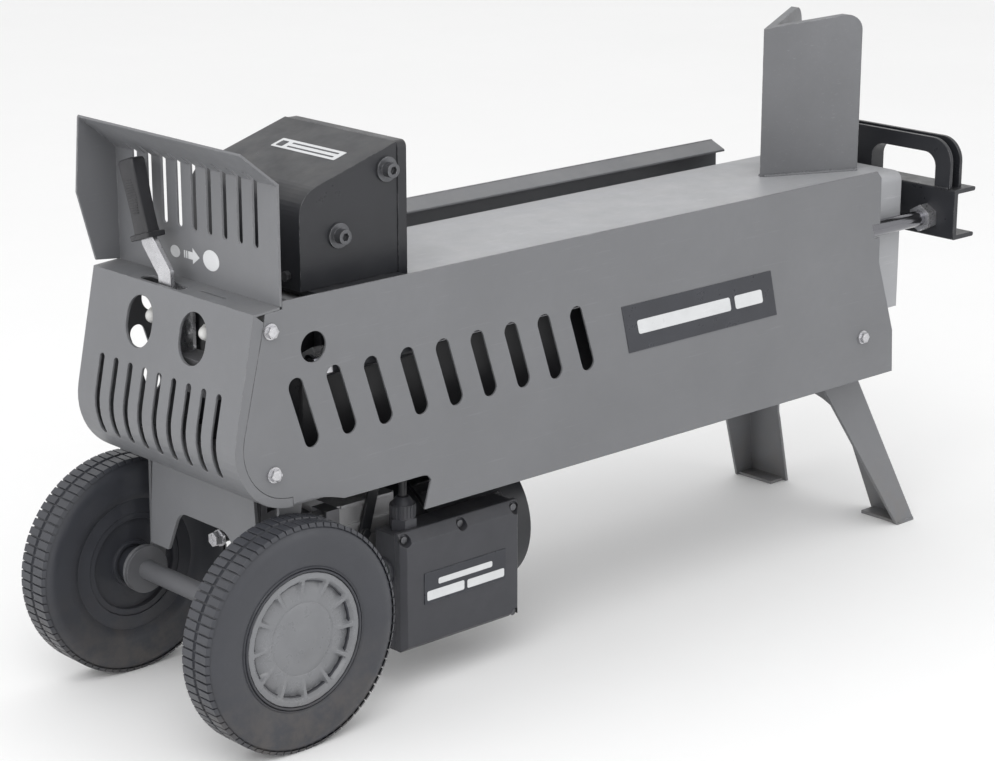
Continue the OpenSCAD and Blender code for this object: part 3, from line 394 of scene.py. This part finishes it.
def wheel(side, word):
    """Tyre with two rows of lugs, hub cap with pockets, and the bead between them."""
    body = "wheel_" + word
    r_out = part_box("tyre_" + word)[1].z / 2 / MM
    y_out = max(abs(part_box("tyre_" + word)[0].y), abs(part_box("tyre_" + word)[1].y)) / MM
    hub = Vector((0, 0, WHEEL_Z / MM))
    axis = (0, side, 0)

    p = Piece()
    groove = 2.4
    base = r_out - groove
    p.lathe([(76, y_out - 42), (84, y_out - 47.4), (92, y_out - 48.2)]
            + [(r, y_out - 50 + w) for r, w in ((104, 0.7), (110, 0.7), (115, 1.8), (119, 3.6),
                                                (base - 1, 5.4))]
            + [(base, y_out - 42), (base, y_out - 27), (base - 1.0, y_out - 26.2), (base - 1.0, y_out - 23.8),
               (base, y_out - 23), (base, y_out - 8)]
            + [(r, y_out - w) for r, w in ((base - 1, 5.4), (119, 3.6), (115, 1.8), (110, 0.5), (104, 0.2))]
            + [(92, y_out - 0.9), (86, y_out - 1.8), (82, y_out - 2.4), (78, y_out - 3.4), (76, y_out - 5.5)],
            hub, axis, 156)
    count = 78
    for row, (y0, y1) in enumerate(((4.4, 23.4), (26.6, 45.6))):
        for i in range(count):
            mid = i * 2 * math.pi / count
            half = math.pi / count * 0.84
            rim = []
            for r, y, spread in ((base - 1.6, y1 + (1.4 if row else 0.3), 1.0),
                                 (base - 1.6, y0 - (0.3 if row else 1.4), 1.0),
                                 (r_out - 0.1, y1 - 1.0, 0.93), (r_out - 0.1, y0 + 1.0, 0.93)):
                for s in (-1, 1):
                    a = mid + s * half * spread
                    spot = Vector((math.cos(a) * r, side * (y_out - y), math.sin(a) * r))
                    rim.append(p.bm.verts.new(hub + spot))
            a0, a1, b0, b1, c0, c1, d0, d1 = rim
            for quad in ((c0, c1, d1, d0), (a0, a1, c1, c0), (b0, b1, d1, d0),
                         (a0, b0, d0, c0), (a1, b1, d1, c1)):
                p.bm.faces.new(quad)
    p.done("tyre_skin_" + word, MAT["tyre_rubber"], body, 35, ("tyre_" + word,))

    p = Piece()
    top = y_out - 1.2
    ribs = 12
    steps = 8
    rings = [(0.2, top), (10, top - 0.2), (14, top - 0.8), (16.5, top - 2.0), (24, top - 3.0), (30, top - 3.5),
             (38, top - 4.0), (39.6, top - 4.9), (41.0, top - 4.3)]
    p.lathe(rings, hub, axis, ribs * steps)
    radii = [41, 44, 48, 53, 58, 62, 64.5, 66.5, 70, 72, 72.4, 72.4]

    def cap_height(r, t):
        """Height of the pocket ring at radius r and at t, 0 to 1, across one pocket."""
        rib = top - 4.3 + (r - 41) / 25.5 * 3.6
        if r >= 66.5:
            return top - 0.7 if r < 70.5 else top - 1.6
        wall = min(1.0, max(0.0, (abs(t - 0.5) - 0.36) / 0.07))
        inner = min(1.0, max(0.0, (46 - r) / 4))
        outer = min(1.0, max(0.0, (r - 62.5) / 2.5))
        floor = top - 4.6 - max(0.0, r - 50) / 12.5 * 4.2
        k = max(wall, inner, outer)
        return floor * (1 - k) + rib * k

    cuts = [0.0, 0.06, 0.13, 0.16, 0.5, 0.84, 0.87, 0.94]
    grid = []
    for i in range(ribs):
        for t in cuts:
            a = (i + t) * 2 * math.pi / ribs
            column = []
            for j, r in enumerate(radii):
                h = cap_height(r, t) if j < len(radii) - 1 else y_out - 7.5
                column.append(p.bm.verts.new(hub + Vector((math.cos(a) * r, side * h, math.sin(a) * r))))
            grid.append(column)
    for i in range(len(grid)):
        q, s = grid[i], grid[(i + 1) % len(grid)]
        for j in range(len(radii) - 1):
            p.bm.faces.new((q[j], q[j + 1], s[j + 1], s[j]))
    bmesh.ops.remove_doubles(p.bm, verts=p.bm.verts, dist=0.02)
    p.done("hub_cap_skin_" + word, MAT["cap_plastic"], body, 28, ("hub_cap_" + word,))

    p = Piece()
    p.lathe([(73.2, y_out - 8), (73.2, y_out - 2.4), (74.0, y_out - 1.6), (75.2, y_out - 1.6),
             (76.0, y_out - 2.6), (76.0, y_out - 8)], hub, axis, 96)
    p.lathe([(76.6, y_out - 4), (77.0, y_out - 2.4), (78.0, y_out - 2.0), (78.8, y_out - 3.2)], hub, axis, 96)
    p.done("bead_ring_" + word, MAT["rim_plastic"], body, 40)

    p = Piece()
    y_in = y_out - 50
    for r0, r1, d in ((22, 27, 1.0), (52, 60.5, 2.4)):
        crest = y_in + 11.5 - d
        foot = y_in + 14.2
        p.lathe([(r0, foot), (r0 + 0.8, crest), (r1 - 0.8, crest), (r1, foot)], hub, axis, 72)
    p.done("rim_rings_" + word, MAT["rim_plastic"], body, 40)


wheel(-1, "near")
wheel(1, "far")


# ---------------------------------------------------------------- lever grip

def lever_grip():
    """Ribbed rubber grip with a collar, along the lever's upper run."""
    run = Vector((0, 26, 80)).normalized()
    across = Vector((0, run.z, -run.y))
    foot = Vector((-22, 50, 516))
    p = Piece()
    levels = []

    def ring_at(h, half_x, half_y, r):
        outline = soft_rect(-half_x, -half_y, half_x, half_y, r, 4)
        levels.append([p.bm.verts.new(foot + Vector((1, 0, 0)) * u + across * v + run * h) for u, v in outline])

    for h, hx, hy, r in ((0.0, 10.8, 16.2, 2.5), (0.7, 11.8, 17.2, 2.5), (5.2, 11.8, 17.2, 2.5),
                         (6.0, 10.8, 16.2, 2.5), (6.2, 8.6, 13.0, 2.5), (12, 8.3, 12.6, 2.8),
                         (28, 8.2, 12.3, 2.8), (45, 8.5, 12.5, 2.8), (62, 8.8, 13.2, 2.8),
                         (76, 9.0, 13.9, 2.8), (82, 8.9, 13.8, 2.8), (84.6, 8.0, 12.8, 2.8),
                         (85.6, 6.4, 11.0, 2.8)):
        ring_at(h, hx, hy, r)
    n = len(levels[0])
    for a, b in zip(levels, levels[1:]):
        for k in range(n):
            p.bm.faces.new((a[k], a[(k + 1) % n], b[(k + 1) % n], b[k]))
    p.bm.faces.new(levels[0][::-1])
    p.bm.faces.new(levels[-1])
    p.done("grip_skin", MAT["grip_rubber"], "lever", 30, ("lever_grip",))
    p = Piece()
    for face in (-1, 1):
        for i in range(14):
            h = 27 + i * 2.7
            width = 8.2 - 3.0 * abs(i - 6.5) / 6.5
            ring = [(-width, 0.0), (width, 0.0), (width, 1.4), (-width, 1.4)]

            def place(u, v, w):
                return foot + across * u + run * (h + v) + Vector((face * (8.1 + w), 0, 0))

            p.prism(ring, place, 0.9, 0.25)
    p.done("grip_ribs", MAT["grip_rubber"], "lever", 30)


lever_grip()


# ---------------------------------------------------------------- labels and marks

# half the body's width, and the height of the shared pump and motor axis, in mm
HALF_W = 141.0
MOTOR_Z = 126


def side_label(side, word):
    """Plain pale bars on the side panel's dark label."""
    y0 = side * (HALF_W + 0.8)

    def place(u, v, w):
        return Vector((489 + u + (1 - v / 57) * 14, y0 + side * w, 330 + v))

    p = Piece()
    for u0, v0, u1, v1 in ((20, 20, 176, 37), (184, 20, 232, 37)):
        p.prism(soft_rect(u0, v0, u1, v1, 3), place, 0.2)
    p.done("side_label_bars_" + word, LABEL_PALE, "frame", 30)


side_label(-1, "near")
side_label(1, "far")


def lid_label():
    y0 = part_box("box_lid")[0].y / MM - 0.8
    p = Piece()
    for u0, v0, u1, v1 in ((201.5, 103.5, 256, 114.5), (260.5, 103.5, 316, 113.5), (218, 119.5, 298, 126.5)):
        p.prism(soft_rect(u0, v0, u1, v1, 2), lambda u, v, w: Vector((u, y0 - w, v)), 0.2)
    p.done("lid_label_bars", LABEL_PALE, "frame", 30)


lid_label()

SLOPE = math.radians(16.9)


def pusher_label():
    """A pale blank label with bars on the pusher's sloping top."""
    def place(u, v, w):
        """u runs up the slope, v runs across it and w stands off it."""
        x = 110 + u * math.cos(SLOPE) - w * math.sin(SLOPE)
        z = 611 + (110 - 197) * math.tan(SLOPE) + u * math.sin(SLOPE) + w * math.cos(SLOPE)
        return Vector((x, v, z))

    p = Piece()
    p.prism(soft_rect(30.3, -61, 49.5, 47, 1.5), place, 0.35)
    p.done("pusher_label", LABEL_PALE, "ram", 30)
    p = Piece()
    for u0, v0, u1, v1 in ((33.5, 31, 45, 42), (34.5, -54, 37, 24), (42.5, -54, 45, 24)):
        p.prism(soft_rect(u0, v0, u1, v1, 1), lambda u, v, w: place(u, v, w + 0.35), 0.15)
    p.done("pusher_label_bars", LABEL_INK, "ram", 30)


pusher_label()


def guard_marks():
    """Plain speed marks by the lever: a small round shape, an arrow and a large round shape."""
    x0 = 2.0

    def place(u, v, w):
        return Vector((x0 - w, u, v))

    p = Piece()
    p.prism(oval(36, 501, 8.5, 6.5, 28), place, 0.2)
    for y0, y1 in ((18.5, 20.5), (14.5, 17), (5, 13)):
        p.prism([(y0, 497), (y1, 497), (y1, 505), (y0, 505)], place, 0.2)
    p.prism([(5, 492.5), (-7, 501), (5, 509.5)], place, 0.2)
    p.prism(oval(-27, 502, 14, 11, 36), place, 0.2)
    p.done("guard_marks", LABEL_PALE, "frame", 30)


guard_marks()


# ---------------------------------------------------------------- welds, bands and small hardware

def weld(name, path, radius, body, slot):
    """A lumpy weld bead along a chain of points."""
    points = []
    for a, b in zip(path, path[1:]):
        a, b = Vector(a), Vector(b)
        n = max(2, int((b - a).length / 1.3))
        points += [a.lerp(b, i / n) for i in range(n)]
    points.append(Vector(path[-1]))
    p = Piece()
    jitter = [random.uniform(-0.18, 0.18) for _ in points]
    last = len(points) - 1

    def bead(t):
        """The bead's radius at t, 0 to 1, along it."""
        return radius * (0.86 + 0.14 * math.sin(t * last * 1.5) + jitter[int(round(t * last))])

    p.tube(points, bead, 10)
    p.done(name, MAT[slot], body, 60)


weld("wedge_weld_near", [(881, -3.4, 460.6), (999, -56.6, 460.6)], 2.6, "frame", "wedge_steel")
weld("wedge_weld_far", [(881, 3.4, 460.6), (999, 56.6, 460.6)], 2.6, "frame", "wedge_steel")
for s, word in ((-1, "near"), (1, "far")):
    weld("handle_weld_" + word, [(1067.6, s * 150, 440.4), (1067.6, s * 130, 440.4)], 1.8, "ram", "black_paint")
    weld("leg_weld_" + word, [(872, s * 138.0, 278.6), (936, s * 138.0, 278.6)], 1.6, "frame", "panel_paint")


def axle_hardware():
    """Two screws on each axle disc."""
    p = Piece()
    for s in (-1, 1):
        for dx, dz in ((-19, 9), (17, -12)):
            c = Vector((dx, s * 112.6, 125 + dz))
            p.lathe([(0.1, 2.2), (2.2, 2.0), (3.4, 0.8), (3.6, -0.4)], c, (0, s, 0), 16)
    p.done("axle_screws", MAT["zinc_steel"], "frame", 40)


axle_hardware()


def pump_bands():
    """Two black clamp bands and a ring of six housing screws."""
    r = (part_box("pump_housing")[1].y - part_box("pump_housing")[0].y) / 2 / MM
    p = Piece()
    for x0, x1 in ((219, 224), (229, 234)):
        p.lathe([(r - 0.4, x0), (r + 1.2, x0 + 0.4), (r + 1.2, x1 - 0.4), (r - 0.4, x1)],
                (0, 0, MOTOR_Z), (1, 0, 0), 96)
    p.done("pump_bands", MAT["black_paint"], "frame", 40)
    p = Piece()
    for i in range(6):
        a = math.radians(30 + i * 60)
        c = Vector((116.2, math.cos(a) * (r - 14), MOTOR_Z + math.sin(a) * (r - 14)))
        p.lathe([(0.1, 4.0), (5.0, 4.0), (5.6, 3.2), (5.6, -0.4)], c, (-1, 0, 0), 20)
    p.done("pump_screws", MAT["zinc_steel"], "frame", 40)


pump_bands()


def motor_fins():
    """Low cooling fins along the motor's middle."""
    r = 82.0
    p = Piece()
    for i in range(40):
        a = 2 * math.pi * i / 40
        if abs(math.degrees(a) - 90) < 24 or 150 < math.degrees(a) < 215:
            continue
        c, s = math.cos(a), math.sin(a)
        ring = [(266, -1.1), (368, -1.1), (368, 1.1), (266, 1.1)]

        def place(u, v, w):
            out = r - 0.5 + w
            return Vector((u, c * out - s * v, MOTOR_Z + s * out + c * v))

        p.prism(ring, place, 2.6, 0.4)
    p.done("motor_fins", MAT["black_paint"], "frame", 40)


motor_fins()


def button_bezel():
    lo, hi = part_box("start_button")
    c = Vector((168, (lo.y + hi.y) / 2 / MM, (lo.z + hi.z) / 2 / MM))
    p = Piece()
    p.lathe([(11.6, 0.0), (11.6, 4.0), (13.0, 4.4), (15.6, 3.6), (16.0, 0.0)], c, (-1, 0, 0), 40)
    p.done("button_bezel", MAT["box_plastic"], "frame", 40)


button_bezel()


def gland_ribs():
    p = Piece()
    for i in range(20):
        a = 2 * math.pi * i / 20
        c, s = math.cos(a), math.sin(a)
        ring = [(13.6, -1.1), (14.7, -0.7), (14.7, 0.7), (13.6, 1.1)]
        p.prism(ring, lambda u, v, w: Vector((192 + c * u - s * v, -104 + s * u + c * v, 198.5 + w)), 13)
    p.done("gland_ribs", MAT["box_plastic"], "frame", 40)


gland_ribs()


def cap_knurls():
    """Fine teeth round the two filler caps."""
    p = Piece()
    for s in (-1, 1):
        for i in range(18):
            a = 2 * math.pi * i / 18
            c, q = math.cos(a), math.sin(a)
            ring = [(8.6, -0.6), (9.5, -0.35), (9.5, 0.35), (8.6, 0.6)]
            p.prism(ring, lambda u, v, w: Vector((-21.4 + w, s * 47 + c * u - q * v, 433 + q * u + c * v)), 4.8)
    p.done("cap_knurls", MAT["cap_white"], "frame", 40)


cap_knurls()


def bolt_chamfers():
    """Round chamfered crowns on the panel bolts."""
    p = Piece()
    for s in (-1, 1):
        for x, z in ((-11.3, 451.7), (-11.3, 300.1), (919.7, 271)):
            p.lathe([(0.1, 1.0), (4.4, 1.0), (5.7, 0.2), (5.7, -0.3)],
                    (x, s * (HALF_W + 6.4), z), (0, s, 0), 24)
    p.done("bolt_crowns", MAT["zinc_steel"], "frame", 30)


bolt_chamfers()


# ---------------------------------------------------------------- floor, light and camera

def studio():
    """A pale floor that curves up into a backdrop far behind the object."""
    verts, faces = [], []
    back = Vector((math.sin(math.radians(42.5)), math.cos(math.radians(42.5)), 0))
    side = Vector((back.y, -back.x, 0))
    curve = [math.pi / 2 * i / 12 for i in range(1, 13)]
    profile = [(-7.0, 0.0), (7.0, 0.0)]
    profile += [(7.0 + 3.0 * math.sin(a), 3.0 - 3.0 * math.cos(a)) for a in curve]
    profile += [(10.0, 8.0)]
    for d, h in profile:
        for w in (-9.0, 9.0):
            p = back * d + side * w
            verts.append((p.x, p.y, h))
    for i in range(len(profile) - 1):
        faces.append((2 * i, 2 * i + 1, 2 * i + 3, 2 * i + 2))
    mesh = bpy.data.meshes.new("studio_floor")
    mesh.from_pydata(verts, [], faces)
    obj = bpy.data.objects.new("studio_floor", mesh)
    bpy.context.scene.collection.objects.link(obj)
    mesh.materials.append(FLOOR)
    for f in mesh.polygons:
        f.use_smooth = True


studio()


def area_light(name, place, target, size, power, tint=(1.0, 1.0, 1.0)):
    data = bpy.data.lights.new(name, "AREA")
    data.shape = "RECTANGLE"
    data.size, data.size_y = size
    data.energy = power
    data.color = tint
    obj = bpy.data.objects.new(name, data)
    bpy.context.scene.collection.objects.link(obj)
    obj.location = place
    obj.rotation_euler = (Vector(target) - Vector(place)).to_track_quat("-Z", "Y").to_euler()


area_light("key", (-2.2, -1.8, 3.0), (0.0, 0.0, 0.3), (2.4, 2.4), 44)
area_light("left", (-3.4, 0.6, 1.2), (-0.3, 0.0, 0.3), (1.2, 2.0), 16)
area_light("front", (1.4, -3.4, 1.3), (0.1, 0.0, 0.3), (2.2, 1.6), 12)

world = bpy.data.worlds.new("studio")
bpy.context.scene.world = world
world.use_nodes = True
world.node_tree.nodes["Background"].inputs[0].default_value = (1.0, 1.0, 1.0, 1.0)
world.node_tree.nodes["Background"].inputs[1].default_value = 1.0

CAMERA_AT = (-1536.83, -2143.18, 1144.03)
CAMERA_AZIMUTH = 42.51
CAMERA_ELEVATION = 16.52
CAMERA_LENS = 93.74

data = bpy.data.cameras.new("camera")
data.type = "PERSP"
data.sensor_width = 36.0
data.lens = CAMERA_LENS
data.clip_end = 60.0
camera = bpy.data.objects.new("camera", data)
bpy.context.scene.collection.objects.link(camera)
camera.location = at(*CAMERA_AT)
camera.rotation_euler = (math.radians(90 - CAMERA_ELEVATION), 0.0, math.radians(-CAMERA_AZIMUTH))
bpy.context.scene.camera = camera
bpy.context.scene.view_settings.view_transform = "Standard"
